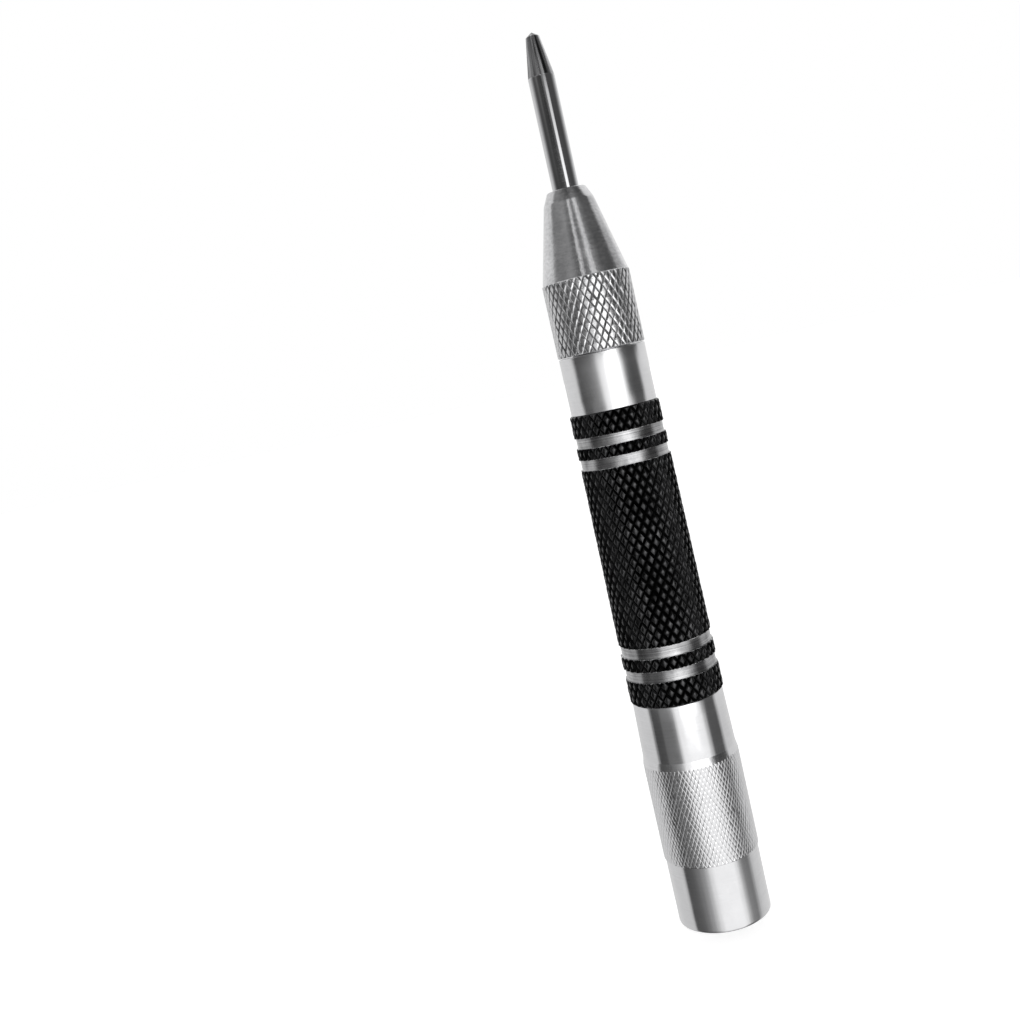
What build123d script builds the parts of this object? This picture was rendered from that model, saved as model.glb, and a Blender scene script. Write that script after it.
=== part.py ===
"""Automatic centre punch: a pocket tool that marks metal when its needle is pressed against the work.

The tool stands on the flat end of its adjusting cap. Z = 0 is that flat end, +Z runs along the
tool's axis to the needle's point, and every height below is measured from the flat end, in
millimetres. Pressing the needle pushes the trip rod and the hammer back against the main spring.
The trip rod lies askew at rest, so that its stem bears on the hammer's face. At the end of the
stroke the web in the body squares it up, the stem drops into the hammer's hole, and the hammer
flies forward on to the rod's shoulder. Screw threads are plain cylinders at their mean diameters.
"""

import os
from math import asin, degrees

from build123d import *

# ---- Driving dimensions -------------------------------------------------------------------
TOOL_LENGTH = 130.0

# Heights of the joints between the outer pieces, from the flat end.
CAP_MOUTH = 34.35
GRIP_REAR = 34.4
GRIP_FRONT = 77.1
BODY_FRONT = 85.35
NOSE_REAR = 85.4
NOSE_FRONT = 108.2

# Adjusting cap.
CAP_END_RADIUS = 6.88
CAP_END_TOP = 10.15
CAP_END_ROUND = 0.45
CAP_KNURL_RADIUS = 7.06
CAP_KNURL_BOTTOM = 10.3
CAP_KNURL_TOP = 24.85
CAP_FLARE_TOP = 26.0
CAP_NECK_RADIUS = 6.86
CAP_MOUTH_RADIUS = 6.64
CAP_FLOOR = 6.0  # thickness of the solid end
CAP_SPRING_BORE_RADIUS = 3.95
CAP_THREAD_BOTTOM = 18.5
CAP_THREAD_RADIUS = 4.87

# Grip sleeve: a knurled tube, a little thicker towards the cap, with two turned grooves near
# each end that leave a narrow knurled ring between them.
GRIP_BORE_RADIUS = 5.52
GRIP_FRONT_RADIUS = 6.5
GRIP_REAR_RADIUS = 6.91
FRONT_BAND = 3.2  # from the front end to the first groove
FRONT_GROOVE_WIDTH = 1.47
FRONT_RING_WIDTH = 1.68  # knurled ring between the front grooves
REAR_BAND = 3.65
REAR_GROOVE_WIDTH = 1.58
REAR_RING_WIDTH = 1.91
GROOVE_DEPTH = 0.27
GRIP_EDGE_BREAK = 0.2

# Body tube.
BODY_REAR = 22.5
BODY_THREAD_RADIUS = 4.8
BODY_SEAT_RADIUS = 5.5  # the stretch that the grip sleeve is pressed on to
BODY_COLLAR_RADIUS = 6.18
BODY_COLLAR_CHAMFER = 0.12
HAMMER_BORE_RADIUS = 3.8
WEB_REAR = 70.0
WEB_FRONT = 71.2
WEB_HOLE_RADIUS = 1.95
WEB_COUNTERSINK = 0.35
RETURN_BORE_RADIUS = 3.75
NOSE_SOCKET_BOTTOM = 77.4
NOSE_SOCKET_RADIUS = 4.55

# Nose cap.
NOSE_KNURL_RADIUS = 6.26
NOSE_KNURL_TOP = 95.7
NOSE_KNURL_BREAK = 0.15
NOSE_CHAMFER_BOTTOM = 106.5
NOSE_CHAMFER_RADIUS = 3.58
NOSE_TIP_RADIUS = 2.75
NOSE_SPIGOT_REAR = 77.6
NOSE_SPIGOT_RADIUS = 4.5
NOSE_HEAD_BORE_RADIUS = 3.6
NOSE_SHOULDER = 85.15  # the needle's head stops against it
NOSE_BORE_RADIUS = 1.94

# Punch needle.
NEEDLE_REAR = 82.5
NEEDLE_HEAD_FRONT = 85.1
NEEDLE_HEAD_RADIUS = 3.4
NEEDLE_HEAD_ROUND = 0.9
NEEDLE_RADIUS = 1.87
NEEDLE_TAPER_BOTTOM = 123.8
NEEDLE_POINT_BOTTOM = 129.35
NEEDLE_POINT_RADIUS = 0.95

# Trip rod, measured along its own axis from the pivot at its domed front end.
ROD_PIVOT = 82.45
ROD_DOME = 0.35
ROD_FLANGE_RADIUS = 3.0
ROD_FLANGE_LENGTH = 1.75
ROD_SHANK_RADIUS = 1.85
ROD_SHANK_LENGTH = 4.45
ROD_SHANK_CHAMFER = 0.25
ROD_STEM_RADIUS = 0.9
ROD_LENGTH = 12.25
ROD_OFFSET = 0.9  # how far the stem's end stands off the tool's axis at rest

# Hammer.
HAMMER_FRONT = 69.95
HAMMER_LENGTH = 22.0
HAMMER_RADIUS = 3.72
HAMMER_CHAMFER = 0.4
HAMMER_HOLE_RADIUS = 1.05
HAMMER_HOLE_DEPTH = 10.0
SPRING_GUIDE_RADIUS = 2.2
SPRING_GUIDE_LENGTH = 3.0

# Spring seat, on the floor of the cap.
SEAT_REAR = 6.05
SEAT_THICKNESS = 1.5
SEAT_RADIUS = 3.7

# Springs.
MAIN_WIRE_RADIUS = 0.55
MAIN_COIL_RADIUS = 3.05
MAIN_COIL_PITCH = 2.6
MAIN_SPRING_GAP = 0.05
RETURN_WIRE_RADIUS = 0.25
RETURN_LARGE_RADIUS = 3.25
RETURN_SMALL_RADIUS = 2.3
RETURN_COIL_PITCH = 1.5
RETURN_SPRING_FRONT = 80.35

# ---- Worked out ---------------------------------------------------------------------------
HAMMER_REAR = HAMMER_FRONT - HAMMER_LENGTH
SEAT_FRONT = SEAT_REAR + SEAT_THICKNESS
ROD_TILT = degrees(asin(ROD_OFFSET / ROD_LENGTH))
ROD_PLANE = Plane(origin=(0, 0, ROD_PIVOT), x_dir=(1, 0, 0), z_dir=(0, -1, 0)).rotated((0, ROD_TILT, 0))


def grip_radius(height):
    """Outside radius of the grip's bands at a height."""
    along = (height - GRIP_REAR) / (GRIP_FRONT - GRIP_REAR)
    return GRIP_REAR_RADIUS + (GRIP_FRONT_RADIUS - GRIP_REAR_RADIUS) * along


os.makedirs("parts", exist_ok=True)

# ---- Adjusting cap: screwed over the body's rear end --------------------------------------
with BuildPart() as rear_cap:
    with BuildSketch(Plane.XZ):
        with BuildLine():
            Polyline(
                (0, 0),
                (CAP_END_RADIUS, 0),
                (CAP_END_RADIUS, CAP_END_TOP),
                (CAP_KNURL_RADIUS, CAP_KNURL_BOTTOM),
                (CAP_KNURL_RADIUS, CAP_KNURL_TOP),
                (CAP_NECK_RADIUS, CAP_FLARE_TOP),
                (CAP_MOUTH_RADIUS, CAP_MOUTH),
                (CAP_THREAD_RADIUS, CAP_MOUTH),
                (CAP_THREAD_RADIUS, CAP_THREAD_BOTTOM),
                (CAP_SPRING_BORE_RADIUS, CAP_THREAD_BOTTOM),
                (CAP_SPRING_BORE_RADIUS, CAP_FLOOR),
                (0, CAP_FLOOR),
                close=True,
            )
        make_face()
    revolve(axis=Axis.Z)
    fillet(rear_cap.edges().group_by(Axis.Z)[0], CAP_END_ROUND)

# ---- Spring seat: carries the main spring on the cap's floor, so the cap turns under it -----
with BuildPart() as spring_seat:
    with BuildSketch(Plane.XY.offset(SEAT_REAR)):
        Circle(SEAT_RADIUS)
    extrude(amount=SEAT_THICKNESS)
    with BuildSketch(Plane.XY.offset(SEAT_FRONT)):
        Circle(SPRING_GUIDE_RADIUS)
    extrude(amount=SPRING_GUIDE_LENGTH)
    chamfer(spring_seat.edges().group_by(Axis.Z)[-1], HAMMER_CHAMFER)

# ---- Body tube: rear thread, seat for the grip, front collar, and the web inside ------------
with BuildPart() as body_tube:
    with BuildSketch(Plane.XZ):
        with BuildLine():
            Polyline(
                (HAMMER_BORE_RADIUS, BODY_REAR),
                (BODY_THREAD_RADIUS, BODY_REAR),
                (BODY_THREAD_RADIUS, GRIP_REAR),
                (BODY_SEAT_RADIUS, GRIP_REAR),
                (BODY_SEAT_RADIUS, GRIP_FRONT),
                (BODY_COLLAR_RADIUS, GRIP_FRONT),
                (BODY_COLLAR_RADIUS, BODY_FRONT),
                (NOSE_SOCKET_RADIUS, BODY_FRONT),
                (NOSE_SOCKET_RADIUS, NOSE_SOCKET_BOTTOM),
                (RETURN_BORE_RADIUS, NOSE_SOCKET_BOTTOM),
                (RETURN_BORE_RADIUS, WEB_FRONT),
                (WEB_HOLE_RADIUS + WEB_COUNTERSINK, WEB_FRONT),
                (WEB_HOLE_RADIUS, WEB_FRONT - WEB_COUNTERSINK),
                (WEB_HOLE_RADIUS, WEB_REAR),
                (HAMMER_BORE_RADIUS, WEB_REAR),
                close=True,
            )
        make_face()
    revolve(axis=Axis.Z)
    chamfer(body_tube.edges().group_by(Axis.Z)[-1].sort_by(SortBy.RADIUS)[-1], BODY_COLLAR_CHAMFER)
    chamfer(body_tube.edges().group_by(Axis.Z)[0].sort_by(SortBy.RADIUS)[-1], BODY_COLLAR_CHAMFER)

# ---- Grip sleeve ----------------------------------------------------------------------------
# Each groove is given by its lower edge and its width.
GROOVES = [
    (GRIP_REAR + REAR_BAND, REAR_GROOVE_WIDTH),
    (GRIP_REAR + REAR_BAND + REAR_GROOVE_WIDTH + REAR_RING_WIDTH, REAR_GROOVE_WIDTH),
    (GRIP_FRONT - FRONT_BAND - 2 * FRONT_GROOVE_WIDTH - FRONT_RING_WIDTH, FRONT_GROOVE_WIDTH),
    (GRIP_FRONT - FRONT_BAND - FRONT_GROOVE_WIDTH, FRONT_GROOVE_WIDTH),
]

with BuildPart() as grip_sleeve:
    with BuildSketch(Plane.XZ):
        with BuildLine():
            Polyline(
                (GRIP_BORE_RADIUS, GRIP_REAR),
                (GRIP_REAR_RADIUS - GRIP_EDGE_BREAK, GRIP_REAR),
                (GRIP_REAR_RADIUS, GRIP_REAR + GRIP_EDGE_BREAK),
                (GRIP_FRONT_RADIUS, GRIP_FRONT - GRIP_EDGE_BREAK),
                (GRIP_FRONT_RADIUS - GRIP_EDGE_BREAK, GRIP_FRONT),
                (GRIP_BORE_RADIUS, GRIP_FRONT),
                close=True,
            )
        make_face()
    revolve(axis=Axis.Z)
    for groove_bottom, groove_width in GROOVES:
        floor_radius = grip_radius(groove_bottom + groove_width / 2) - GROOVE_DEPTH
        with BuildSketch(Plane.XY.offset(groove_bottom)):
            Circle(CAP_KNURL_RADIUS + 1)
            Circle(floor_radius, mode=Mode.SUBTRACT)
        extrude(amount=groove_width, mode=Mode.SUBTRACT)

# ---- Nose cap: knurled ring, cone and the spigot that screws into the body -------------------
with BuildPart() as nose_cap:
    with BuildSketch(Plane.XZ):
        with BuildLine():
            Polyline(
                (NOSE_HEAD_BORE_RADIUS, NOSE_SPIGOT_REAR),
                (NOSE_SPIGOT_RADIUS, NOSE_SPIGOT_REAR),
                (NOSE_SPIGOT_RADIUS, NOSE_REAR),
                (NOSE_KNURL_RADIUS - NOSE_KNURL_BREAK, NOSE_REAR),
                (NOSE_KNURL_RADIUS, NOSE_REAR + NOSE_KNURL_BREAK),
                (NOSE_KNURL_RADIUS, NOSE_KNURL_TOP),
                (NOSE_CHAMFER_RADIUS, NOSE_CHAMFER_BOTTOM),
                (NOSE_TIP_RADIUS, NOSE_FRONT),
                (NOSE_BORE_RADIUS, NOSE_FRONT),
                (NOSE_BORE_RADIUS, NOSE_SHOULDER),
                (NOSE_HEAD_BORE_RADIUS, NOSE_SHOULDER),
                close=True,
            )
        make_face()
    revolve(axis=Axis.Z)

# ---- Punch needle: round head, shank, long taper and hardened point --------------------------
with BuildPart() as punch_needle:
    with BuildSketch(Plane.XZ):
        with BuildLine():
            Polyline(
                (0, NEEDLE_REAR),
                (NEEDLE_HEAD_RADIUS, NEEDLE_REAR),
                (NEEDLE_HEAD_RADIUS, NEEDLE_HEAD_FRONT),
                (NEEDLE_RADIUS, NEEDLE_HEAD_FRONT),
                (NEEDLE_RADIUS, NEEDLE_TAPER_BOTTOM),
                (NEEDLE_POINT_RADIUS, NEEDLE_POINT_BOTTOM),
                (0, TOOL_LENGTH),
                close=True,
            )
        make_face()
    revolve(axis=Axis.Z)
    head_rims = punch_needle.edges().filter_by(
        lambda edge: edge.geom_type == GeomType.CIRCLE and edge.radius > NEEDLE_RADIUS + 1
    )
    fillet(head_rims, NEEDLE_HEAD_ROUND)

# ---- Trip rod: domed front, spring flange, shank and thin stem, lying askew ------------------
with BuildPart() as trip_rod:
    with BuildSketch(ROD_PLANE):
        with BuildLine():
            ThreePointArc((0, 0), (ROD_FLANGE_RADIUS / 2, -ROD_DOME / 4), (ROD_FLANGE_RADIUS, -ROD_DOME))
            Polyline(
                (ROD_FLANGE_RADIUS, -ROD_DOME),
                (ROD_FLANGE_RADIUS, -ROD_FLANGE_LENGTH),
                (ROD_SHANK_RADIUS, -ROD_FLANGE_LENGTH),
                (ROD_SHANK_RADIUS, -ROD_SHANK_LENGTH + ROD_SHANK_CHAMFER),
                (ROD_SHANK_RADIUS - ROD_SHANK_CHAMFER, -ROD_SHANK_LENGTH),
                (ROD_STEM_RADIUS, -ROD_SHANK_LENGTH),
                (ROD_STEM_RADIUS, -ROD_LENGTH),
                (0, -ROD_LENGTH),
                (0, 0),
            )
        make_face()
    revolve(axis=Axis(ROD_PLANE.origin, ROD_PLANE.y_dir))

# ---- Hammer: steel slug with a hole for the rod's stem and a guide for the spring ------------
with BuildPart() as hammer:
    with BuildSketch(Plane.XY.offset(HAMMER_REAR)):
        Circle(HAMMER_RADIUS)
    extrude(amount=HAMMER_LENGTH)
    chamfer(hammer.edges().filter_by(GeomType.CIRCLE), HAMMER_CHAMFER)
    with BuildSketch(Plane.XY.offset(HAMMER_REAR - SPRING_GUIDE_LENGTH)):
        Circle(SPRING_GUIDE_RADIUS)
    extrude(amount=SPRING_GUIDE_LENGTH)
    with BuildSketch(Plane.XY.offset(HAMMER_FRONT - HAMMER_HOLE_DEPTH)):
        Circle(HAMMER_HOLE_RADIUS)
    extrude(amount=HAMMER_HOLE_DEPTH, mode=Mode.SUBTRACT)

# ---- Main spring: straight coil between the seat and the hammer ------------------------------
MAIN_BOTTOM = SEAT_FRONT + MAIN_SPRING_GAP
MAIN_TOP = HAMMER_REAR - MAIN_SPRING_GAP

with BuildPart() as main_spring:
    with BuildLine():
        main_coil = Helix(
            pitch=MAIN_COIL_PITCH,
            height=MAIN_TOP - MAIN_BOTTOM,
            radius=MAIN_COIL_RADIUS,
            center=(0, 0, MAIN_BOTTOM),
        )
    with BuildSketch(Plane(origin=main_coil @ 0, z_dir=main_coil % 0)):
        Circle(MAIN_WIRE_RADIUS)
    sweep(path=main_coil, is_frenet=True)
    split(bisect_by=Plane.XY.offset(MAIN_BOTTOM), keep=Keep.TOP)
    split(bisect_by=Plane.XY.offset(MAIN_TOP), keep=Keep.BOTTOM)

# ---- Return spring: conical coil between the web and the trip rod's flange -------------------
RETURN_BOTTOM = WEB_FRONT + RETURN_WIRE_RADIUS
RETURN_HEIGHT = RETURN_SPRING_FRONT - RETURN_WIRE_RADIUS - RETURN_BOTTOM
RETURN_CONE = degrees(asin((RETURN_LARGE_RADIUS - RETURN_SMALL_RADIUS) / RETURN_HEIGHT))

with BuildPart() as return_spring:
    with BuildLine():
        return_coil = Helix(
            pitch=RETURN_COIL_PITCH,
            height=RETURN_HEIGHT,
            radius=RETURN_LARGE_RADIUS,
            center=(0, 0, RETURN_BOTTOM),
            cone_angle=-RETURN_CONE,
        )
    with BuildSketch(Plane(origin=return_coil @ 0, z_dir=return_coil % 0)):
        Circle(RETURN_WIRE_RADIUS)
    sweep(path=return_coil, is_frenet=True)

# ---- Labels and files ------------------------------------------------------------------------
rear_cap.part.label = "rear_cap"
spring_seat.part.label = "spring_seat"
body_tube.part.label = "body_tube"
grip_sleeve.part.label = "grip_sleeve"
nose_cap.part.label = "nose_cap"
punch_needle.part.label = "punch_needle"
trip_rod.part.label = "trip_rod"
hammer.part.label = "hammer"
main_spring.part.label = "main_spring"
return_spring.part.label = "return_spring"

export_step(rear_cap.part, "parts/rear_cap.step")
export_step(spring_seat.part, "parts/spring_seat.step")
export_step(body_tube.part, "parts/body_tube.step")
export_step(grip_sleeve.part, "parts/grip_sleeve.step")
export_step(nose_cap.part, "parts/nose_cap.step")
export_step(punch_needle.part, "parts/punch_needle.step")
export_step(trip_rod.part, "parts/trip_rod.step")
export_step(hammer.part, "parts/hammer.step")
export_step(main_spring.part, "parts/main_spring.step")
export_step(return_spring.part, "parts/return_spring.step")
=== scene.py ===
"""Looks of the automatic center punch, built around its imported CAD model.

Lengths are written in millimetres and turned into metres when a mesh is made; only the floor, the
camera's clipping and the heights of bumps are in metres. Z runs from the flat end of the adjusting cap
(Z = 0) to the needle's point, as in the CAD.
"""

from math import atan2, cos, floor, hypot, pi, radians, sin, tau
from random import Random

import bmesh
import bpy
from mathutils import Matrix, Vector


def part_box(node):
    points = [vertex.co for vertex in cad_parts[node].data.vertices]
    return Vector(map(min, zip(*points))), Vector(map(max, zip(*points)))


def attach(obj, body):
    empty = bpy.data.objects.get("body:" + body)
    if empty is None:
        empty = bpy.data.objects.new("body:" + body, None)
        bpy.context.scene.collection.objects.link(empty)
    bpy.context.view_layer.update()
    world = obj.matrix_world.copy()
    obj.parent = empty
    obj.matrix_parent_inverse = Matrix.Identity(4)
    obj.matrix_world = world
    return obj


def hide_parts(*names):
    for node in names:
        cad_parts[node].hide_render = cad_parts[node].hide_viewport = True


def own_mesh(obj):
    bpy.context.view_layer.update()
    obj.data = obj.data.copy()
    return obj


MM = 0.001
SEGMENTS = 128  # sides of a smooth turned surface
NEEDLE_SEGMENTS = 96
SHARP_ANGLE = radians(28)  # an edge that turns by more than this isn't shaded smooth
SAME_POINT = 1e-5  # vertices nearer than this are merged
SAME_KNURL_POINT = 1e-4  # the same on a knurl, whose two ends meet less exactly
SAME_HEIGHT = 1e-4  # a vertex this near to a height lies at it
ON_PLANE = 1e-6  # a vertex this near to a cutting plane lies on it

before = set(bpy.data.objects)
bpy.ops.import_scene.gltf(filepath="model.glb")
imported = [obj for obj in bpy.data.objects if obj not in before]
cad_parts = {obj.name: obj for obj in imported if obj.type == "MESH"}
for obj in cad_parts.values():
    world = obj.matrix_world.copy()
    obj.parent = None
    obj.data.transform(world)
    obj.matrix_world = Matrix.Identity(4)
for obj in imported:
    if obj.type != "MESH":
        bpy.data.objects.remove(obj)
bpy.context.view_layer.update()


# ---- Sizes read from the CAD nodes, in millimetres ----------------------------------------------
def heights(node):
    """Lowest and highest Z of a CAD node."""
    low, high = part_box(node)
    return low.z / MM, high.z / MM


def outer_radius(node):
    """Largest radius of a CAD node."""
    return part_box(node)[1].x / MM


CAP_REAR, CAP_MOUTH = heights("rear_cap")
GRIP_REAR, GRIP_FRONT = heights("grip_sleeve")
BODY_REAR, BODY_FRONT = heights("body_tube")
SPIGOT_REAR, NOSE_FRONT = heights("nose_cap")
NEEDLE_REAR, NEEDLE_TIP = heights("punch_needle")
CAP_CREST = outer_radius("rear_cap")
GRIP_REAR_CREST = outer_radius("grip_sleeve")
COLLAR_RADIUS = outer_radius("body_tube")
NOSE_CREST = outer_radius("nose_cap")
HEAD_RADIUS = outer_radius("punch_needle")

# Adjusting cap.
CAP_BARREL = 6.88
CAP_BARREL_TOP = 10.15
CAP_KNURL_BOTTOM = 10.3
CAP_KNURL_TOP = 24.85
CAP_FLARE_TOP = 26.0
CAP_END_ROUND = 0.45
CAP_NECK = 6.86
CAP_LIP = 6.64
CAP_FLOOR = 6.0
CAP_SPRING_BORE = 3.95
CAP_THREAD_BORE = 4.87
CAP_THREAD_BOTTOM = 18.5
FLARE_STEP = 0.01  # from the knurl's crest down to the top of the flare
FLARE_SUPPORT = 0.04  # edges this close to the flare's corner keep its shading crisp

# Grip sleeve.
GRIP_BORE = 5.52
GRIP_CORE = 5.95  # radius of the bare core under the knurl's valleys
GRIP_FRONT_CREST = 6.5
CORE_INSET = 0.5  # how far the bare core stays inside the sleeve's ends
FRONT_BAND = 3.2  # from the front end to the first groove
FRONT_GROOVE = 1.47
FRONT_RING = 1.68  # knurled ring between the front grooves
REAR_BAND = 3.65
REAR_GROOVE = 1.58
REAR_RING = 1.91
GROOVE_DEPTH = 0.27
GROOVE_HOLLOW = 0.02  # how far the middle of a groove's floor lies below its edges
GROOVE_RIM = 0.01  # how far the knurl's valleys stay above the groove's edge
GROOVE_STEPS = 10
GRIP_EDGE_BREAK = 0.2
BURR = 0.05  # bare metal that shows at a groove's edge

# Body tube.
BODY_THREAD = 4.8
BODY_SEAT = 5.5
BODY_CHAMFER = 0.12
HAMMER_BORE = 3.8
WEB_REAR = 70.0
WEB_FRONT = 71.2
WEB_HOLE = 1.95
WEB_COUNTERSINK = 0.35
RETURN_BORE = 3.75
SOCKET_BOTTOM = 77.4
SOCKET = 4.55

# Nose cap.
NOSE_REAR = 85.4
NOSE_KNURL_TOP = 95.7
CONE_STEP = 0.1  # from the knurl's crest down to the top of the cone
CONE_ROOT = 0.5  # length of the cone that is made together with the knurl
NOSE_EDGE_BREAK = 0.15
NOSE_CHAMFER_BOTTOM = 106.5
NOSE_CHAMFER_RADIUS = 3.58
NOSE_LIP = 2.75
NOSE_BORE = 1.94
NOSE_SHOULDER = 85.15
HEAD_BORE = 3.6
SPIGOT = 4.5

# Punch needle.
SHANK = 1.87
HEAD_FRONT = 85.1
HEAD_ROUND = 0.9
TAPER_BOTTOM = 123.8
POINT_BOTTOM = 129.35
POINT_RADIUS = 0.95

# Springs: radii of the wire and of the coil at the wire's centre.
MAIN_WIRE = 0.55
MAIN_COIL = 3.05
MAIN_PITCH = 2.6
RETURN_WIRE = 0.25
RETURN_LARGE = 3.25
RETURN_SMALL = 2.3
RETURN_PITCH = 1.5
RETURN_FRONT = 80.35
RETURN_GRIND = 0.08  # how much is ground off the end turns to make them flat
CLOSED_TURN = 1.04  # spacing of the end turns, in wire diameters
COIL_STEPS = 48  # round one turn
WIRE_SIDES = 14

# Screw threads.
THREAD_PITCH = 1.0
THREAD_DEPTH = 0.32
THREAD_PARTS = (0.0, 0.14, 0.46, 0.66)  # share of the pitch where root, rise, crest and fall begin
THREAD_STEPS = 72  # round one turn
THREAD_RUN_OUT = 0.8  # how steeply the ridge runs out at its ends
THREAD_SUNK = 0.1  # how far the thread's ring reaches below its root
UNDER_THREAD = 0.05  # how far the surface that carries a thread lies below its root
NOSE_THREAD_ENDS = (0.15, 0.7)  # plain length behind and in front of the thread
BODY_THREAD_ENDS = (0.2, 1.4)

# Eased corners: how far from a corner its rounding starts.
EASE_HAIR = 0.04
EASE_TINY = 0.06
EASE_FINE = 0.1
EASE_SMALL = 0.12
EASE_MEDIUM = 0.15
EASE_LARGE = 0.2
EASE_WIDE = 0.3


# ---- Mesh tools -----------------------------------------------------------------------------------
def even_angles(count=SEGMENTS):
    """Angles of a ring of evenly spaced vertices."""
    return [tau * k / count for k in range(count)]


def angle_of(vert):
    """Angle of a vertex round the Z axis, from 0 up to a full turn."""
    return atan2(vert.co.y, vert.co.x) % tau


def rounded(points, steps=4):
    """Profile points (r, z), with a corner given as (r, z, size) eased off over that distance."""
    out = []
    for index, (r, z, *size) in enumerate(points):
        if not size:
            out.append((r, z))
            continue
        corner = Vector((r, z))
        start = corner + (Vector(points[index - 1][:2]) - corner).normalized() * size[0]
        end = corner + (Vector(points[index + 1][:2]) - corner).normalized() * size[0]
        for step in range(steps + 1):
            t = step / steps
            out.append(tuple((1 - t) ** 2 * start + 2 * t * (1 - t) * corner + t * t * end))
    return out


def divided(points, longest):
    """The same profile with its long runs split, so that shading stays even."""
    out = [points[0]]
    for (r0, z0), (r1, z1) in zip(points, points[1:]):
        parts = max(1, round(hypot(r1 - r0, z1 - z0) / longest))
        out += [(r0 + (r1 - r0) * k / parts, z0 + (z1 - z0) * k / parts) for k in range(1, parts + 1)]
    return out


def skin(bm, one, two):
    """Faces between two rings of the same count, or between a ring and a pole."""
    count = max(len(one), len(two))
    for k in range(count):
        corners = [one[k % len(one)], one[(k + 1) % len(one)], two[(k + 1) % len(two)], two[k % len(two)]]
        bm.faces.new(dict.fromkeys(corners))


def spin(bm, profile, start=None, angles=None):
    """Turns a profile about Z. It starts from a ring of vertices, or from its own first point."""
    if start:
        angles = [angle_of(v) for v in start]
    ring = start
    for r, z in profile:
        spots = angles if r > 0 else [0.0]
        following = [bm.verts.new((r * cos(a), r * sin(a), z)) for a in spots]
        if ring:
            skin(bm, ring, following)
        ring = following
    return ring


def zip_rings(bm, one, two):
    """Triangles between two rings whose vertices stand at different angles."""
    one, two = sorted(one, key=angle_of), sorted(two, key=angle_of)
    a = [angle_of(v) for v in one] + [angle_of(one[0]) + tau]
    b = [angle_of(v) for v in two] + [angle_of(two[0]) + tau]
    i = j = 0
    while i < len(one) or j < len(two):
        first, second = one[i % len(one)], two[j % len(two)]
        if j >= len(two) or (i < len(one) and a[i + 1] <= b[j + 1]):
            bm.faces.new((first, one[(i + 1) % len(one)], second))
            i += 1
        else:
            bm.faces.new((first, two[(j + 1) % len(two)], second))
            j += 1


def open_ring(bm, height):
    """The open edge of a shell at a height, in order round the axis."""
    found = [v for v in bm.verts if v.is_boundary and abs(v.co.z - height) < SAME_HEIGHT]
    return sorted(found, key=angle_of)


def append(bm, other):
    """Adds another bmesh's shell to this one."""
    mesh = bpy.data.meshes.new("scratch")
    other.to_mesh(mesh)
    other.free()
    bm.from_mesh(mesh)
    bpy.data.meshes.remove(mesh)


def closed_shell(profile):
    """A turned ring whose profile closes on itself."""
    bm = bmesh.new()
    rings = [[bm.verts.new((r * cos(a), r * sin(a), z)) for a in even_angles()] for r, z in profile]
    for k, ring in enumerate(rings):
        skin(bm, ring, rings[(k + 1) % len(rings)])
    return bm


def merge_doubles(bm):
    """Merges vertices that lie at one point and removes the faces that this leaves without area."""
    bmesh.ops.remove_doubles(bm, verts=bm.verts, dist=SAME_POINT)
    bmesh.ops.dissolve_degenerate(bm, edges=bm.edges, dist=SAME_POINT)


def make_piece(name, bm, body, nodes, material):
    """A mesh object in metres that rides on a body and stands for CAD nodes."""
    merge_doubles(bm)
    bmesh.ops.recalc_face_normals(bm, faces=bm.faces)
    bm.transform(Matrix.Scale(MM, 4))
    mesh = bpy.data.meshes.new(name)
    bm.to_mesh(mesh)
    bm.free()
    mesh.shade_smooth()
    mesh.set_sharp_from_angle(angle=SHARP_ANGLE)
    mesh.materials.append(material)
    piece = bpy.data.objects.new(name, mesh)
    bpy.context.scene.collection.objects.link(piece)
    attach(piece, body)
    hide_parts(*nodes)
    return piece


# ---- Knurling -------------------------------------------------------------------------------------
SEED_STRIDE = 1000003  # these two keep the dice of different knurls and rows apart
ROW_STRIDE = 1009
FLAT_VARIES = (0.85, 1.1)  # least and most of a flat top's usual size


def between(profile, place):
    """Value at a place along a profile of (place, value) points."""
    for (p0, v0), (p1, v1) in zip(profile, profile[1:]):
        if place <= p1:
            return v0 + (v1 - v0) * (place - p0) / (p1 - p0)
    return profile[-1][1]


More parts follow.
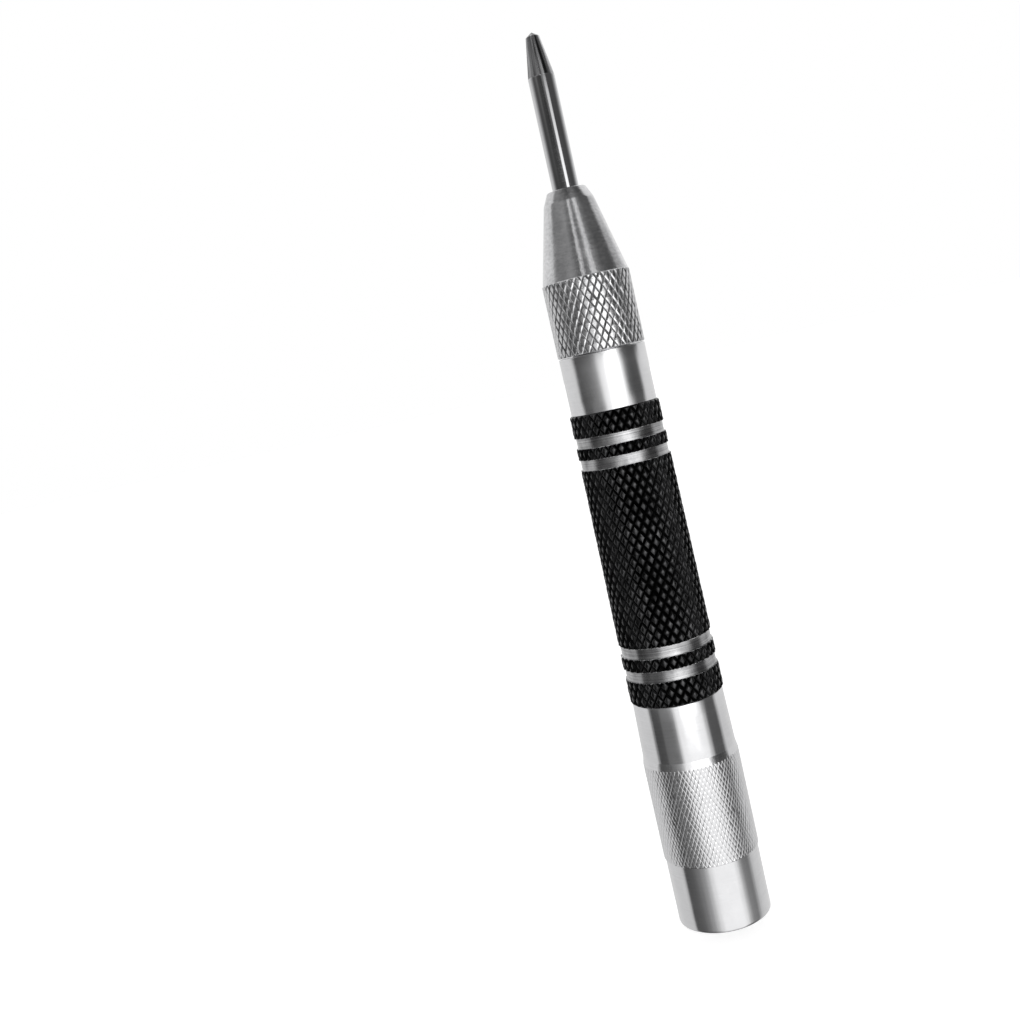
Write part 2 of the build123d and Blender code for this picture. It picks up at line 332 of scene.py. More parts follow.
class Knurl:
    """Two crossed sets of helical grooves that leave diamonds with a flat top and eased shoulders."""

    def __init__(self, starts, length, depth, flat, shoulder, crest, seed, tilt, minor=1.0):
        self.starts = starts  # grooves of one hand round the piece
        self.length = length  # of a diamond, along the axis
        self.depth = depth
        self.flat = flat  # share of a diamond's size that its flat top takes up
        self.shoulder = shoulder  # share of its size, and of the depth, where its shoulders end
        self.crest = crest  # radius of the diamonds' tops as a function of height
        self.seed = seed
        self.tilt = tilt  # how unevenly the diamonds' tops lie
        self.minor = minor  # every second groove's share of the depth

    def valley(self, column, row):
        """Place of a crossing of two grooves; only where both are minor ones is it shallower."""
        both_minor = (column - row - 1) // 2 % 2 and (column + row - 1) // 2 % 2
        return column / 2, row * self.length / 2, -self.depth * (self.minor if both_minor else 1.0)

    def lattice(self, low, high):
        """The pattern laid out flat: X counts diamonds, Y is the height, Z is above the crest."""
        bm = bmesh.new()
        shoulder, drop = self.shoulder
        rows = range(floor(2 * low / self.length) - 1, floor(2 * high / self.length) + 3)
        valleys = {}
        for row in rows:
            for column in range(2 * self.starts):
                if (row + column) % 2:
                    continue
                dice = Random(self.seed * SEED_STRIDE + row * ROW_STRIDE + column)
                tilt_x, tilt_y = (dice.uniform(-self.tilt, self.tilt) for _ in range(2))
                sink = dice.uniform(-self.tilt, 0.0)
                flat = self.flat * dice.uniform(*FLAT_VARIES)
                middle = Vector((column / 2, row * self.length / 2))
                rings = [[], [], []]
                for dx, dy in ((-1, 0), (0, -1), (1, 0), (0, 1)):
                    key = (column + dx, row + dy)
                    if key not in valleys:
                        valleys[key] = bm.verts.new(self.valley(*key))
                    rings[0].append(valleys[key])
                    for ring, scale, height in ((1, shoulder, -drop * self.depth), (2, flat, 0.0)):
                        lift = height + sink + (tilt_x * dx + tilt_y * dy) * scale
                        spot = (middle.x + dx * scale / 2, middle.y + dy * scale * self.length / 2)
                        rings[ring].append(bm.verts.new((*spot, min(lift, 0.0))))
                for outer, inner in zip(rings, rings[1:]):
                    skin(bm, outer, inner)
                bm.faces.new(rings[-1])
        return bm

    def band(self, limit):
        """A knurled band that stays under a profile of (height, lift above the crest) points."""
        bm = self.lattice(limit[0][0], limit[-1][0])
        planes = [((0, height, 0), (0, 1, 0), False) for height, _ in limit[1:-1]]
        planes += [((0, limit[0][0], 0), (0, -1, 0), True), ((0, limit[-1][0], 0), (0, 1, 0), True)]
        for (h0, lift0), (h1, lift1) in zip(limit, limit[1:]):
            if lift0 != lift1:
                planes.append(((0, h0, lift0), (0, lift0 - lift1, h1 - h0), False))
        for spot, normal, clear in planes:
            bmesh.ops.bisect_plane(
                bm, geom=bm.verts[:] + bm.edges[:] + bm.faces[:], dist=ON_PLANE,
                plane_co=spot, plane_no=Vector(normal).normalized(), clear_outer=clear,
            )
        for v in bm.verts:
            column, height, lift = v.co
            radius = self.crest(height) + min(lift, between(limit, height))
            angle = tau * column / self.starts
            v.co = (radius * cos(angle), radius * sin(angle), height)
        bmesh.ops.remove_doubles(bm, verts=bm.verts, dist=SAME_KNURL_POINT)
        return bm


def thread(low, high, crest):
    """A screw thread as a closed ring: a helical ridge that runs out at both ends."""
    root = crest - THREAD_DEPTH
    shape = tuple(zip(THREAD_PARTS, (root, root, crest, crest)))
    turns = int((high - low) / THREAD_PITCH) + 3
    bm = bmesh.new()
    columns = []
    for step in range(THREAD_STEPS):
        column = []
        for turn in range(turns):
            for part, radius in shape:
                z = low + THREAD_PITCH * (turn - 1 + part + step / THREAD_STEPS)
                z = min(max(z, low), high)
                r = min(radius, root + (z - low) * THREAD_RUN_OUT, root + (high - z) * THREAD_RUN_OUT)
                angle = tau * step / THREAD_STEPS
                column.append(bm.verts.new((r * cos(angle), r * sin(angle), z)))
        columns.append(column)
    for step, column in enumerate(columns):
        shift = 0 if step + 1 < THREAD_STEPS else len(shape)
        beside = columns[(step + 1) % THREAD_STEPS]
        for k in range(len(column) - 1 - shift):
            bm.faces.new((column[k], beside[k + shift], beside[k + 1 + shift], column[k + 1]))
    merge_doubles(bm)
    lower = spin(bm, [(root - THREAD_SUNK, low)], start=open_ring(bm, low))
    upper = spin(bm, [(root - THREAD_SUNK, high)], start=open_ring(bm, high))
    zip_rings(bm, lower, upper)
    return bm


# ---- Materials ------------------------------------------------------------------------------------
CLOUD_SCALE = (400, 400, 260)  # scales of noise are in cycles to a metre
GRAIN_SCALE = (6000, 6000, 6000)
GRAIN_SHARE = 0.4  # of the bump, against the turning marks
COLOUR_SPREAD = (0.75, 1.25)  # clouds and marks add up to about 1: from the dark to the light colour
GLOSS_SPREAD = (0.7, 1.3)
STREAK_SCALE = (3, 3, 60)  # cycles to a radius across the axis, and to a metre along it
STREAK_SPREAD = (0.4, 0.6)  # of that noise, from the dark to the light colour
BAND_FADE = 0.1  # length over which the valleys' painted shade comes in at the ends of a knurl
DEEPEST = 1.6  # in depths of the knurl: a surface further below the crest is no valley of it and gets no painted shade
GROUND_FADE = 0.15  # length over which the ground surface takes over from the turned one
GROUND_ROUGHNESS = 0.16  # added to the turned surface's


class Nodes:
    """Short names for the shader nodes that the materials and the surroundings share."""

    def __init__(self, tree):
        self.tree = tree
        tree.nodes.clear()

    def add(self, kind, inputs=(), **settings):
        node = self.tree.nodes.new(kind)
        for key, value in settings.items():
            setattr(node, key, value)
        for key, value in dict(inputs).items():
            if isinstance(value, bpy.types.NodeSocket):
                self.tree.links.new(value, node.inputs[key])
            else:
                node.inputs[key].default_value = value
        return node

    def math(self, operation, *values):
        return self.add("ShaderNodeMath", enumerate(values), operation=operation).outputs[0]

    def remap(self, value, low, high, to_low=0.0, to_high=1.0):
        inputs = {0: value, 1: low, 2: high, 3: to_low, 4: to_high}
        return self.add("ShaderNodeMapRange", inputs).outputs[0]

    def mix(self, factor, one, two):
        node = self.add("ShaderNodeMix", {0: factor}, data_type="RGBA")
        for socket, value in ((node.inputs[6], one), (node.inputs[7], two)):
            if isinstance(value, bpy.types.NodeSocket):
                self.tree.links.new(value, socket)
            else:
                socket.default_value = (*value, 1.0)
        return node.outputs[2]

    def noise(self, place, scale, detail, roughness):
        stretched = self.add("ShaderNodeMapping", {"Vector": place, "Scale": scale}).outputs[0]
        inputs = {"Vector": stretched, "Scale": 1.0, "Detail": detail, "Roughness": roughness}
        return self.add("ShaderNodeTexNoise", inputs).outputs["Fac"]


def metal(name, dark, light, rough, marks=0.3, mark_scale=(150, 150, 9000), bump_height=4e-6,
          valley=None, ground=None):
    """Turned metal: cloudy colour and gloss, and fine marks that run round the axis.

    rough is the least and most roughness. valley is (knurl, low, high, colour, share), painted shade in the
    knurl's grooves: between those heights the grooves are painted that darker colour below that share of
    their depth, and have it in full halfway from there to the bottom. ground is (height, dark, light):
    above that height the surface is ground lengthwise, in streaks of those colours.
    """
    material = bpy.data.materials.new(name)
    material.use_nodes = True
    nodes = Nodes(material.node_tree)
    place = nodes.add("ShaderNodeTexCoord").outputs["Object"]
    axes = nodes.add("ShaderNodeSeparateXYZ", {0: place}).outputs
    radius = nodes.math("SQRT", nodes.math("ADD", nodes.math("MULTIPLY", axes[0], axes[0]),
                                           nodes.math("MULTIPLY", axes[1], axes[1])))
    clouds = nodes.noise(place, CLOUD_SCALE, detail=4.0, roughness=0.6)
    lines = nodes.noise(place, mark_scale, detail=3.0, roughness=0.65)
    grain = nodes.noise(place, GRAIN_SCALE, detail=2.0, roughness=0.5)
    blend = nodes.math("ADD", clouds, lines)
    colour = nodes.mix(nodes.remap(blend, *COLOUR_SPREAD), dark, light)
    roughness = nodes.remap(blend, *GLOSS_SPREAD, *rough)
    # Painted shade: the knurl's grooves get a darker colour towards their bottoms, standing in for the
    # shade that falls in them.
    if valley:
        knurl, low, high, valley_shade_colour, share = valley
        slope = (knurl.crest(high) - knurl.crest(low)) / (high - low)
        crest_at_zero = (knurl.crest(low) - low * slope) * MM
        top = nodes.math("ADD", nodes.math("MULTIPLY", axes[2], slope), crest_at_zero)
        below = nodes.math("DIVIDE", nodes.math("SUBTRACT", top, radius), knurl.depth * MM)
        in_band = nodes.math("MULTIPLY", nodes.remap(axes[2], low * MM, (low + BAND_FADE) * MM),
                             nodes.remap(axes[2], high * MM, (high - BAND_FADE) * MM))
        painted_groove_shade = nodes.math("MULTIPLY", nodes.remap(below, share, 0.5 + 0.5 * share),
                               nodes.math("LESS_THAN", below, DEEPEST))
        colour = nodes.mix(nodes.math("MULTIPLY", painted_groove_shade, in_band), colour, valley_shade_colour)
    height = nodes.math("ADD", lines, nodes.math("MULTIPLY", grain, GRAIN_SHARE))
    if ground:
        ground_low, streak_dark, streak_light = ground
        around = nodes.add("ShaderNodeCombineXYZ", {
            0: nodes.math("DIVIDE", axes[0], radius),
            1: nodes.math("DIVIDE", axes[1], radius),
            2: axes[2],
        }).outputs[0]
        streaks = nodes.noise(around, STREAK_SCALE, detail=3.0, roughness=0.6)
        in_ground = nodes.remap(axes[2], ground_low * MM, (ground_low + GROUND_FADE) * MM)
        streaked = nodes.mix(nodes.remap(streaks, *STREAK_SPREAD), streak_dark, streak_light)
        colour = nodes.mix(in_ground, colour, streaked)
        rougher = nodes.math("MULTIPLY", in_ground, GROUND_ROUGHNESS)
        roughness = nodes.math("ADD", roughness, rougher)
    bump_inputs = {"Strength": marks, "Distance": bump_height, "Height": height}
    bump = nodes.add("ShaderNodeBump", bump_inputs).outputs[0]
    shader = nodes.add(
        "ShaderNodeBsdfPrincipled",
        {"Base Color": colour, "Roughness": roughness, "Metallic": 1.0, "Normal": bump},
    )
    nodes.add("ShaderNodeOutputMaterial", {"Surface": shader.outputs[0]})
    return material


def crest_of_grip(height):
    """Radius of the grip's knurl, which is a little thicker at the rear."""
    along = (height - GRIP_REAR) / (GRIP_FRONT - GRIP_REAR)
    return GRIP_REAR_CREST + (GRIP_FRONT_CREST - GRIP_REAR_CREST) * along


cap_knurl = Knurl(
    starts=68, length=1.27, depth=0.038, flat=0.5, shoulder=(0.7, 0.15),
    crest=lambda height: CAP_CREST, seed=3, tilt=0.006, minor=0.7,
)
nose_knurl = Knurl(
    starts=36, length=1.96, depth=0.1, flat=0.58, shoulder=(0.64, 0.03),
    crest=lambda height: NOSE_CREST, seed=5, tilt=0.004,
)
grip_knurl = Knurl(
    starts=32, length=2.14, depth=0.3, flat=0.3, shoulder=(0.6, 0.22),
    crest=crest_of_grip, seed=7, tilt=0.04,
)

# Each valley entry below paints shade into its knurl's grooves as a darker colour.
cap_metal = metal(
    "satin_nickel_cap", (0.73, 0.73, 0.74), (0.81, 0.81, 0.82), (0.09, 0.16), marks=0.5,
    valley=(cap_knurl, CAP_KNURL_BOTTOM, CAP_KNURL_TOP, (0.62, 0.62, 0.63), 0.5),
)
nose_metal = metal(
    "turned_nose", (0.54, 0.54, 0.55), (0.74, 0.74, 0.75), (0.1, 0.2), marks=0.8,
    mark_scale=(1200, 1200, 2600), bump_height=2.2e-5,
    valley=(nose_knurl, NOSE_REAR, NOSE_KNURL_TOP, (0.4, 0.4, 0.41), 0.7),
)
body_metal = metal("satin_nickel_body", (0.73, 0.73, 0.74), (0.81, 0.81, 0.82), (0.12, 0.2), marks=0.5)
black_anodised = metal(
    "black_anodised", (0.01, 0.01, 0.0105), (0.085, 0.085, 0.087), (0.14, 0.26),
    mark_scale=(900, 900, 900),
    valley=(grip_knurl, GRIP_REAR, GRIP_FRONT, (0.014, 0.014, 0.0145), 0.2),
)
bare_groove = metal(
    "bare_groove", (0.2, 0.2, 0.205), (0.6, 0.6, 0.605), (0.14, 0.26), marks=1.0,
    mark_scale=(40, 40, 3200), bump_height=6e-6,
)
needle_steel = metal(
    "polished_needle", (0.55, 0.55, 0.56), (0.61, 0.61, 0.62), (0.06, 0.12), marks=0.15,
    ground=(TAPER_BOTTOM, (0.04, 0.04, 0.042), (0.6, 0.6, 0.61)),
)
inner_steel = metal("ground_steel", (0.42, 0.42, 0.43), (0.5, 0.5, 0.51), (0.22, 0.34), marks=0.5)
spring_steel = metal("drawn_wire", (0.25, 0.25, 0.26), (0.34, 0.34, 0.35), (0.25, 0.38), marks=0.2)

# The CAD nodes that keep their shape.
for node in ("spring_seat", "trip_rod", "hammer"):
    node_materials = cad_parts[node].data.materials
    node_materials.clear()
    node_materials.append(inner_steel)

# ---- Adjusting cap --------------------------------------------------------------------------------
flare_slope = (CAP_CREST - FLARE_STEP - CAP_NECK) / (CAP_FLARE_TOP - CAP_KNURL_TOP - FLARE_STEP)
flare_support = CAP_FLARE_TOP - FLARE_SUPPORT
cap = cap_knurl.band([
    (CAP_BARREL_TOP, CAP_BARREL - CAP_CREST),
    (CAP_KNURL_BOTTOM, 0.0),
    (CAP_KNURL_TOP, 0.0),
    (CAP_KNURL_TOP + FLARE_STEP, -FLARE_STEP),
    (flare_support, -FLARE_STEP - flare_slope * (flare_support - CAP_KNURL_TOP - FLARE_STEP)),
    (CAP_FLARE_TOP, CAP_NECK - CAP_CREST),
])
cap_front = [
    (CAP_NECK, CAP_FLARE_TOP),
    (CAP_NECK, CAP_FLARE_TOP + FLARE_SUPPORT),
    (CAP_LIP, CAP_MOUTH, EASE_MEDIUM),
    (CAP_THREAD_BORE, CAP_MOUTH, EASE_LARGE),
    (CAP_THREAD_BORE, CAP_THREAD_BOTTOM),
    (CAP_SPRING_BORE, CAP_THREAD_BOTTOM, EASE_FINE),
    (CAP_SPRING_BORE, CAP_FLOOR, EASE_WIDE),
    (0.0, CAP_FLOOR),
]
cap_rear = [
    (CAP_BARREL, CAP_BARREL_TOP),
    (CAP_BARREL, CAP_REAR, CAP_END_ROUND),
    (0.0, CAP_REAR),
]
spin(cap, divided(rounded(cap_front), longest=2.0)[1:], start=open_ring(cap, CAP_FLARE_TOP))
spin(cap, divided(rounded(cap_rear, steps=6), longest=2.0)[1:], start=open_ring(cap, CAP_BARREL_TOP))
make_piece("rear_cap_turned", cap, "cap", ["rear_cap"], cap_metal)

# ---- Nose cap -------------------------------------------------------------------------------------
cone_top = NOSE_KNURL_TOP + CONE_STEP
cone_slope = (NOSE_CREST - CONE_STEP - NOSE_CHAMFER_RADIUS) / (NOSE_CHAMFER_BOTTOM - cone_top)
cone_start = cone_top + CONE_ROOT
nose = nose_knurl.band([
    (NOSE_REAR, -NOSE_EDGE_BREAK),
    (NOSE_REAR + NOSE_EDGE_BREAK, 0.0),
    (NOSE_KNURL_TOP, 0.0),
    (cone_top, -CONE_STEP),
    (cone_start, -CONE_STEP - cone_slope * (cone_start - cone_top)),
])
under_spigot_thread = SPIGOT - THREAD_DEPTH - UNDER_THREAD
nose_front = [
    (NOSE_CREST - CONE_STEP - cone_slope * (cone_start - cone_top), cone_start),
    (NOSE_CHAMFER_RADIUS, NOSE_CHAMFER_BOTTOM, EASE_SMALL),
    (NOSE_LIP, NOSE_FRONT, EASE_SMALL),
    (NOSE_BORE, NOSE_FRONT, EASE_SMALL),
    (NOSE_BORE, NOSE_SHOULDER),
    (HEAD_BORE, NOSE_SHOULDER, EASE_WIDE),
    (HEAD_BORE, SPIGOT_REAR, EASE_FINE),
    (under_spigot_thread, SPIGOT_REAR, EASE_FINE),
    (under_spigot_thread, NOSE_REAR),
]
face_outer = spin(nose, [(NOSE_CREST - NOSE_EDGE_BREAK, NOSE_REAR)], start=open_ring(nose, NOSE_REAR))
face_inner = spin(nose, divided(rounded(nose_front), longest=1.5)[1:], start=open_ring(nose, cone_start))
zip_rings(nose, face_outer, face_inner)
append(nose, thread(SPIGOT_REAR + NOSE_THREAD_ENDS[0], NOSE_REAR - NOSE_THREAD_ENDS[1], SPIGOT))
make_piece("nose_cap_turned", nose, "nose", ["nose_cap"], nose_metal)

# ---- Punch needle ---------------------------------------------------------------------------------
needle_profile = [
    (0.0, NEEDLE_REAR),
    (HEAD_RADIUS, NEEDLE_REAR, HEAD_ROUND),
    (HEAD_RADIUS, HEAD_FRONT, HEAD_ROUND),
    (SHANK, HEAD_FRONT, EASE_MEDIUM),
    (SHANK, TAPER_BOTTOM, EASE_SMALL),
    (POINT_RADIUS, POINT_BOTTOM, EASE_TINY),
    (0.0, NEEDLE_TIP),
]
needle = bmesh.new()
spin(needle, divided(rounded(needle_profile), longest=2.0), angles=even_angles(NEEDLE_SEGMENTS))
make_piece("punch_needle_ground", needle, "needle", ["punch_needle"], needle_steel)

# ---- Body tube ------------------------------------------------------------------------------------
under_body_thread = BODY_THREAD - THREAD_DEPTH - UNDER_THREAD
body_profile = [
    (HAMMER_BORE, WEB_REAR),
    (HAMMER_BORE, BODY_REAR, EASE_MEDIUM),
    (under_body_thread, BODY_REAR, EASE_MEDIUM),
    (under_body_thread, GRIP_REAR),
    (BODY_SEAT, GRIP_REAR, EASE_FINE),
    (BODY_SEAT, GRIP_FRONT),
    (COLLAR_RADIUS, GRIP_FRONT, EASE_FINE),
    (COLLAR_RADIUS, BODY_FRONT - BODY_CHAMFER, EASE_HAIR),
    (COLLAR_RADIUS - BODY_CHAMFER, BODY_FRONT, EASE_HAIR),
    (SOCKET, BODY_FRONT, EASE_LARGE),
    (SOCKET, SOCKET_BOTTOM),
    (RETURN_BORE, SOCKET_BOTTOM, EASE_FINE),
    (RETURN_BORE, WEB_FRONT),
    (WEB_HOLE + WEB_COUNTERSINK, WEB_FRONT),
    (WEB_HOLE, WEB_FRONT - WEB_COUNTERSINK),
    (WEB_HOLE, WEB_REAR),
]
outline = rounded(body_profile)
tube = closed_shell(divided(outline + outline[:1], longest=2.5)[:-1])
append(tube, thread(BODY_REAR + BODY_THREAD_ENDS[0], GRIP_REAR - BODY_THREAD_ENDS[1], BODY_THREAD))
make_piece("body_tube_turned", tube, "body", ["body_tube"], body_metal)

# ---- Grip sleeve: black knurled bands, with bare grooves and core ---------------------------------
rear_groove = GRIP_REAR + REAR_BAND
front_groove = GRIP_FRONT - FRONT_BAND
groove_spans = [
    (rear_groove, rear_groove + REAR_GROOVE),
    (rear_groove + REAR_GROOVE + REAR_RING, rear_groove + 2 * REAR_GROOVE + REAR_RING),
    (front_groove - 2 * FRONT_GROOVE - FRONT_RING, front_groove - FRONT_GROOVE - FRONT_RING),
    (front_groove - FRONT_GROOVE, front_groove),
]
band_starts = [GRIP_REAR] + [groove_end for _, groove_end in groove_spans]
band_ends = [groove_start for groove_start, _ in groove_spans] + [GRIP_FRONT]

black = bmesh.new()
for low, high in zip(band_starts, band_ends):
    first, last = low == GRIP_REAR, high == GRIP_FRONT
    bottom = low if first else low + BURR
    top = high if last else high - BURR
    limit = [(bottom, 0.0), (top, 0.0)]
    lower_end, upper_end = [(GRIP_CORE, bottom)], [(GRIP_CORE, top)]
    if first:
        limit[0:1] = [(low, -GRIP_EDGE_BREAK), (low + GRIP_EDGE_BREAK, 0.0)]
        lower_end = [(GRIP_BORE, low), (GRIP_BORE, low + CORE_INSET), (GRIP_CORE, low + CORE_INSET)]
    if last:
        limit[1:] = [(high - GRIP_EDGE_BREAK, 0.0), (high, -GRIP_EDGE_BREAK)]
        upper_end = [(GRIP_BORE, high), (GRIP_BORE, high - CORE_INSET), (GRIP_CORE, high - CORE_INSET)]
    band = grip_knurl.band(limit)
    lower = spin(band, lower_end, start=open_ring(band, bottom))
    upper = spin(band, upper_end, start=open_ring(band, top))
    zip_rings(band, lower, upper)
    append(black, band)
make_piece("grip_knurled_bands", black, "body", ["grip_sleeve"], black_anodised)

core_profile = [
    (GRIP_BORE, GRIP_REAR + CORE_INSET),
    (GRIP_CORE, GRIP_REAR + CORE_INSET),
    (GRIP_CORE, GRIP_FRONT - CORE_INSET),
    (GRIP_BORE, GRIP_FRONT - CORE_INSET),
]
bare = closed_shell(core_profile)
for low, high in groove_spans:
    floor_radius = crest_of_grip((low + high) / 2) - GROOVE_DEPTH
    edge_radius = floor_radius + GROOVE_HOLLOW
    rear_edge = grip_knurl.band([(low - BURR, 0.0), (low, 0.0)])
    front_edge = grip_knurl.band([(high, 0.0), (high + BURR, 0.0)])
    for v in rear_edge.verts[:] + front_edge.verts[:]:
        lift = max(1.0, (edge_radius + GROOVE_RIM) / hypot(v.co.x, v.co.y))
        v.co.x, v.co.y = v.co.x * lift, v.co.y * lift
    spin(rear_edge, [(GRIP_CORE, low - BURR)], start=open_ring(rear_edge, low - BURR))
    spin(front_edge, [(GRIP_CORE, high + BURR)], start=open_ring(front_edge, high + BURR))
    floor_profile = []
    for step in range(GROOVE_STEPS + 1):
        across = step / GROOVE_STEPS
        radius = floor_radius + GROOVE_HOLLOW * (2 * across - 1) ** 2
        floor_profile.append((radius, low + (high - low) * across))
    spin(rear_edge, floor_profile, start=open_ring(rear_edge, low))
    append(rear_edge, front_edge)
    open_high = open_ring(rear_edge, high)
    crest_side = [v for v in open_high if hypot(v.co.x, v.co.y) > edge_radius + GROOVE_RIM / 2]
    floor_side = [v for v in open_high if v not in crest_side]
    zip_rings(rear_edge, crest_side, floor_side)
    zip_rings(rear_edge, open_ring(rear_edge, low - BURR), open_ring(rear_edge, high + BURR))
    append(bare, rear_edge)
make_piece("grip_bare_grooves", bare, "body", ["grip_sleeve"], bare_groove)


# ---- Springs: wire coils with closed ends ----------------------------------------------------------
def coil(wire, pitch, centre_low, centre_high, radius_low, radius_high, grind):
    """A coil of round wire between two heights of its centre line, ground flat by grind at both ends."""
    rise = centre_high - centre_low
    closed = 2 * wire * CLOSED_TURN
    turns = (rise - 2 * closed) / pitch + 2
    steps = round(turns * COIL_STEPS)
    climb = [
        (0.0, centre_low),
        (1.0, centre_low + closed),
        (turns - 1, centre_high - closed),
        (turns, centre_high),
    ]
    face_low, face_high = centre_low - wire + grind, centre_high + wire - grind
    bm = bmesh.new()
    ring = None
    for step in range(steps + 1):
        turn = turns * step / steps
        height = between(climb, turn)
        radius = radius_low + (radius_high - radius_low) * (height - centre_low) / rise
        following = []
        for side in range(WIRE_SIDES):
            r = radius + wire * cos(tau * side / WIRE_SIDES)
            z = min(max(height + wire * sin(tau * side / WIRE_SIDES), face_low), face_high)
            following.append(bm.verts.new((r * cos(tau * turn), r * sin(tau * turn), z)))
        if ring:
            skin(bm, ring, following)
        else:
            bm.faces.new(following)
        ring = following
    bm.faces.new(ring)
    return bm


def make_spring(node, bm):
    """A spring piece with a mesh of its own."""
    piece = make_piece(node + "_coil", bm, "body", [node], spring_steel)
    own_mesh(piece)


main_low, main_high = heights("main_spring")
main_coil = coil(MAIN_WIRE, MAIN_PITCH, main_low, main_high, MAIN_COIL, MAIN_COIL, grind=MAIN_WIRE)
make_spring("main_spring", main_coil)
return_coil = coil(
    RETURN_WIRE, RETURN_PITCH, WEB_FRONT + RETURN_WIRE, RETURN_FRONT - RETURN_WIRE,
    RETURN_LARGE, RETURN_SMALL, grind=RETURN_GRIND,
)
make_spring("return_spring", return_coil)

# ---- Floor ----------------------------------------------------------------------------------------
FLOOR_HALF = 4.0  # half its width, in metres
FLOOR_HEIGHT = -1e-5  # in metres, a hair below the cap's flat end
floor_mesh = bpy.data.meshes.new("floor")
corners = [(x * FLOOR_HALF, y * FLOOR_HALF, FLOOR_HEIGHT) for x, y in ((-1, -1), (1, -1), (1, 1), (-1, 1))]
floor_mesh.from_pydata(corners, [], [(0, 1, 2, 3)])
floor_plane = bpy.data.objects.new("floor", floor_mesh)
bpy.context.scene.collection.objects.link(floor_plane)
floor_plane.visible_glossy = False  # metal reflects the surroundings below it instead
pale = bpy.data.materials.new("pale_floor")
pale.use_nodes = True
pale_nodes = Nodes(pale.node_tree)
pale_shader = pale_nodes.add(
    "ShaderNodeBsdfPrincipled",
    {
        "Base Color": (0.9, 0.9, 0.9, 1.0),
        "Roughness": 1.0,
        "Emission Color": (1.0, 1.0, 1.0, 1.0),
        "Emission Strength": 0.7,
    },
)
pale_nodes.add("ShaderNodeOutputMaterial", {"Surface": pale_shader.outputs[0]})
floor_mesh.materials.append(pale)

# ---- Light: a soft studio all round, with a window in front and dark sides -------------------------
# Each belt of the surroundings is a list of (azimuth, brightness). The azimuth is in degrees, measured
# from the front (-Y) towards +X, and the brightness changes evenly from one to the next.
UNDER = [
    (-180, 0.8), (-100, 0.6), (-90, 0.04), (-40, 0.06), (-25, 0.5), (-12, 0.95), (45, 0.95), (55, 0.06),
    (90, 0.04), (100, 0.6), (180, 0.8),
]
DEEP = [
    (-180, 0.76), (-94, 0.66), (-85, 0.09), (-62, 0.13), (-48, 0.22), (-34, 0.42), (-24, 0.7), (-14, 0.96),
    (-6, 1.1), (40, 1.1), (50, 0.9), (60, 0.45), (68, 0.27), (84, 0.22), (98, 0.6), (112, 0.7), (180, 0.8),
]
LOW = [
    (-180, 0.74), (-94, 0.7), (-84, 0.07), (-64, 0.08), (-58, 0.16), (-34, 0.18), (-26, 0.32), (-20, 1.0),
    (-8, 1.1), (42, 1.1), (52, 0.6), (60, 0.11), (88, 0.1), (100, 0.68), (180, 0.78),
]
DIPPED = [
    (-180, 0.75), (-94, 0.72), (-84, 0.08), (-64, 0.1), (-56, 0.2), (-36, 0.24), (-26, 0.4), (-20, 1.0),
    (-9, 1.15), (0, 2.2), (20, 2.4), (30, 1.4), (42, 1.0), (53, 0.35), (62, 0.1), (86, 0.1), (98, 0.72),
    (180, 0.8),
]
LEVEL = [
    (-180, 0.76), (-94, 0.75), (-84, 0.11), (-62, 0.22), (-44, 0.29), (-31, 0.44), (-20, 0.98), (-6, 1.25),
    (4, 2.1), (26, 2.2), (36, 1.4), (44, 0.7), (53, 0.25), (64, 0.13), (86, 0.15), (98, 0.8), (180, 0.84),
]
FLARE_SIDES = [
    (-180, 0.8), (-97, 0.75), (-87, 0.07), (-56, 0.1), (-38, 0.25), (-28, 0.4), (-20, 1.05), (-6, 1.3),
    (4, 2.1), (26, 2.2), (36, 1.3), (44, 0.4), (50, 0.05), (89, 0.05), (99, 0.75), (180, 0.84),
]
FLARED = [
    (-180, 0.8), (-98, 0.75), (-86, 0.06), (-60, 0.12), (-40, 0.2), (-28, 0.45), (-20, 1.0), (-6, 1.3),
    (4, 2.2), (26, 2.3), (36, 1.2), (44, 0.3), (50, 0.07), (100, 0.06), (108, 0.7), (180, 0.84),
]
RAISED = [
    (-180, 0.9), (-122, 0.85), (-104, 0.5), (-91, 0.2), (-80, 0.08), (-10, 0.05), (9, 0.08), (13, 2.0),
    (31, 2.0), (35, 0.12), (80, 0.09), (94, 0.17), (108, 0.42), (122, 0.75), (136, 0.95), (180, 0.95),
]
MIDDLE = [
    (-180, 0.9), (-122, 0.9), (-104, 0.6), (-91, 0.35), (-80, 0.13), (-66, 0.12), (-50, 0.22), (-38, 0.09),
    (-10, 0.06), (4, 0.3), (28, 0.36), (38, 0.08), (88, 0.1), (108, 0.35), (122, 0.6), (136, 0.9),
    (180, 0.9),
]
STEEP = [
    (-180, 0.82), (-103, 0.86), (-92, 0.26), (-60, 0.28), (-38, 0.34), (-28, 0.26), (-17, 0.14), (-13, 0.2),
    (-9, 1.2), (-5, 0.7), (1, 0.2), (12, 0.22), (19, 0.95), (26, 0.85), (34, 0.26), (54, 0.13), (92, 0.12),
    (107, 0.95), (180, 0.95),
]
ZENITH = [
    (-180, 0.86), (-126, 0.88), (-110, 0.32), (-78, 0.29), (-50, 0.22), (-14, 0.12), (-4, 0.05), (4, 0.14),
    (30, 0.2), (50, 0.18), (76, 0.06), (104, 0.05), (124, 0.85), (180, 0.92),
]

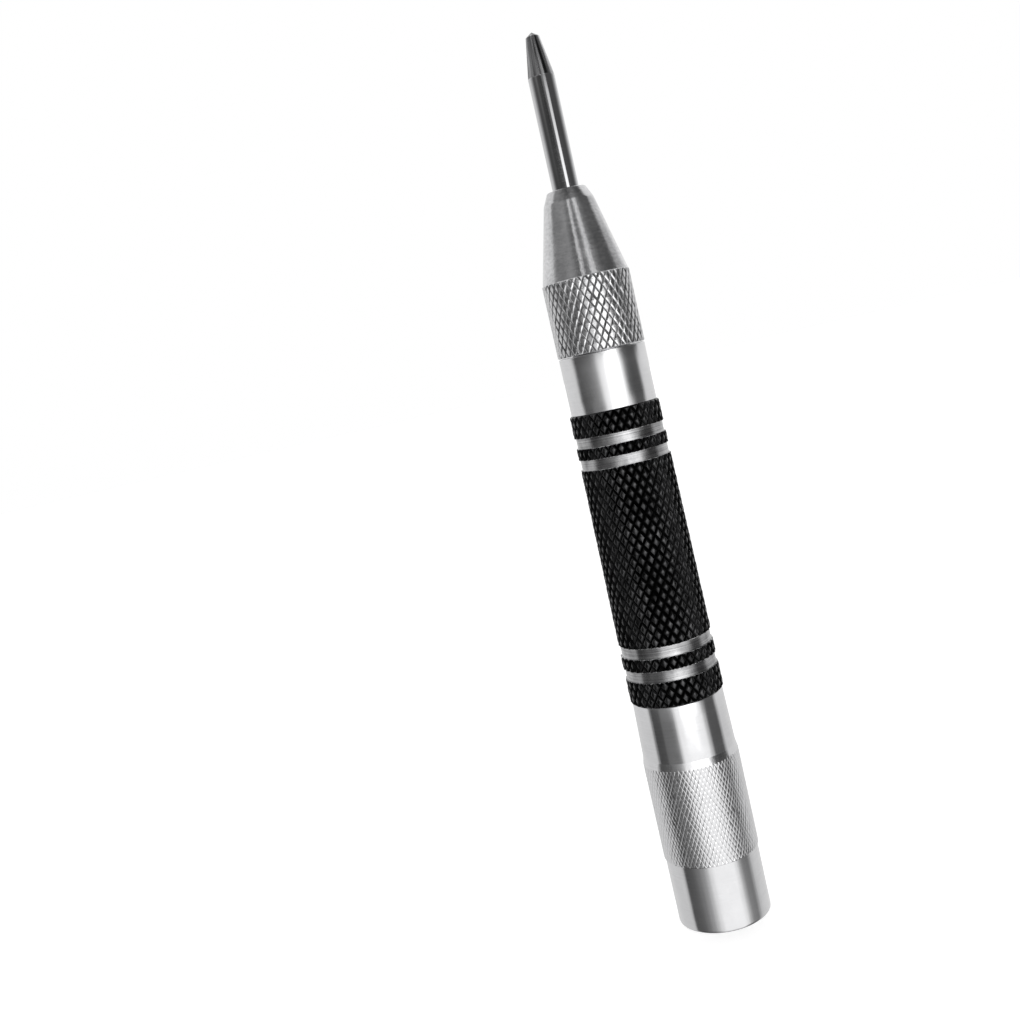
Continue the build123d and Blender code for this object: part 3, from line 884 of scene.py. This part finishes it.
# From UNDER upwards, each belt takes over from the one below it between two sines of elevation. The
# two FLARE belts are what the cap's flare reflects, so the first of them lies inside LEVEL.
BELTS = [
    (DEEP, -0.66, -0.58),
    (LOW, -0.41, -0.37),
    (DIPPED, -0.25, -0.225),
    (LEVEL, -0.13, -0.11),
    (FLARE_SIDES, -0.1, -0.09),
    (LEVEL, -0.03, -0.02),
    (FLARED, 0.022, 0.034),
    (RAISED, 0.07, 0.12),
    (MIDDLE, 0.12, 0.24),
    (STEEP, 0.28, 0.44),
    (ZENITH, 0.7, 0.85),
]
NADIR_FADE = (-0.8, -0.95)  # and below all of them, one even brightness
NADIR = 0.45

world = bpy.data.worlds.new("soft_studio")
bpy.context.scene.world = world
world.use_nodes = True
sky = Nodes(world.node_tree)
towards = sky.add("ShaderNodeTexCoord").outputs["Generated"]
direction = sky.add("ShaderNodeSeparateXYZ", {0: towards}).outputs
azimuth = sky.math("ARCTAN2", direction[0], sky.math("MULTIPLY", direction[1], -1.0))
turn_share = sky.math("ADD", sky.math("DIVIDE", azimuth, tau), 0.5)


def azimuth_ramp(stops):
    """The brightness of one belt in every direction."""
    ramp = sky.add("ShaderNodeValToRGB", {0: turn_share})
    elements = ramp.color_ramp.elements
    for index, (degrees_round, value) in enumerate(stops):
        position = degrees_round / 360 + 0.5
        element = elements[index] if index < 2 else elements.new(position)
        element.position = position
        element.color = (value, value, value, 1.0)
    return ramp.outputs[0]


lit = azimuth_ramp(UNDER)
for stops, fade_start, fade_end in BELTS:
    lit = sky.mix(sky.remap(direction[2], fade_start, fade_end), lit, azimuth_ramp(stops))
lit = sky.mix(sky.remap(direction[2], *NADIR_FADE), lit, (NADIR, NADIR, NADIR))
# Seen directly, behind the floor, the surroundings are plain white.
seen = sky.add("ShaderNodeLightPath").outputs["Is Camera Ray"]
background = sky.add("ShaderNodeBackground", {0: sky.mix(seen, lit, (1.0, 1.0, 1.0))})
sky.add("ShaderNodeOutputWorld", {"Surface": background.outputs[0]})

# ---- Camera ---------------------------------------------------------------------------------------
CAMERA_SPOT = Vector((-12.51, -175.354, 85.432)) * MM
CAMERA_PITCH = radians(-6.2983)
CAMERA_YAW = radians(-1.7148)
CAMERA_ROLL = radians(13.074)
SENSOR_WIDTH = 36.0
FOCAL_LENGTH = 43.24
CLIP_START = 0.005  # in metres

camera_data = bpy.data.cameras.new("camera")
camera_data.sensor_width = SENSOR_WIDTH
camera_data.lens = FOCAL_LENGTH
camera_data.clip_start = CLIP_START
camera = bpy.data.objects.new("camera", camera_data)
bpy.context.scene.collection.objects.link(camera)
bpy.context.scene.camera = camera
turned = Matrix.Rotation(-CAMERA_YAW, 4, "Z") @ Matrix.Rotation(pi / 2 + CAMERA_PITCH, 4, "X")
camera.matrix_world = Matrix.Translation(CAMERA_SPOT) @ turned @ Matrix.Rotation(-CAMERA_ROLL, 4, "Z")

bpy.context.scene.view_settings.view_transform = "Standard"
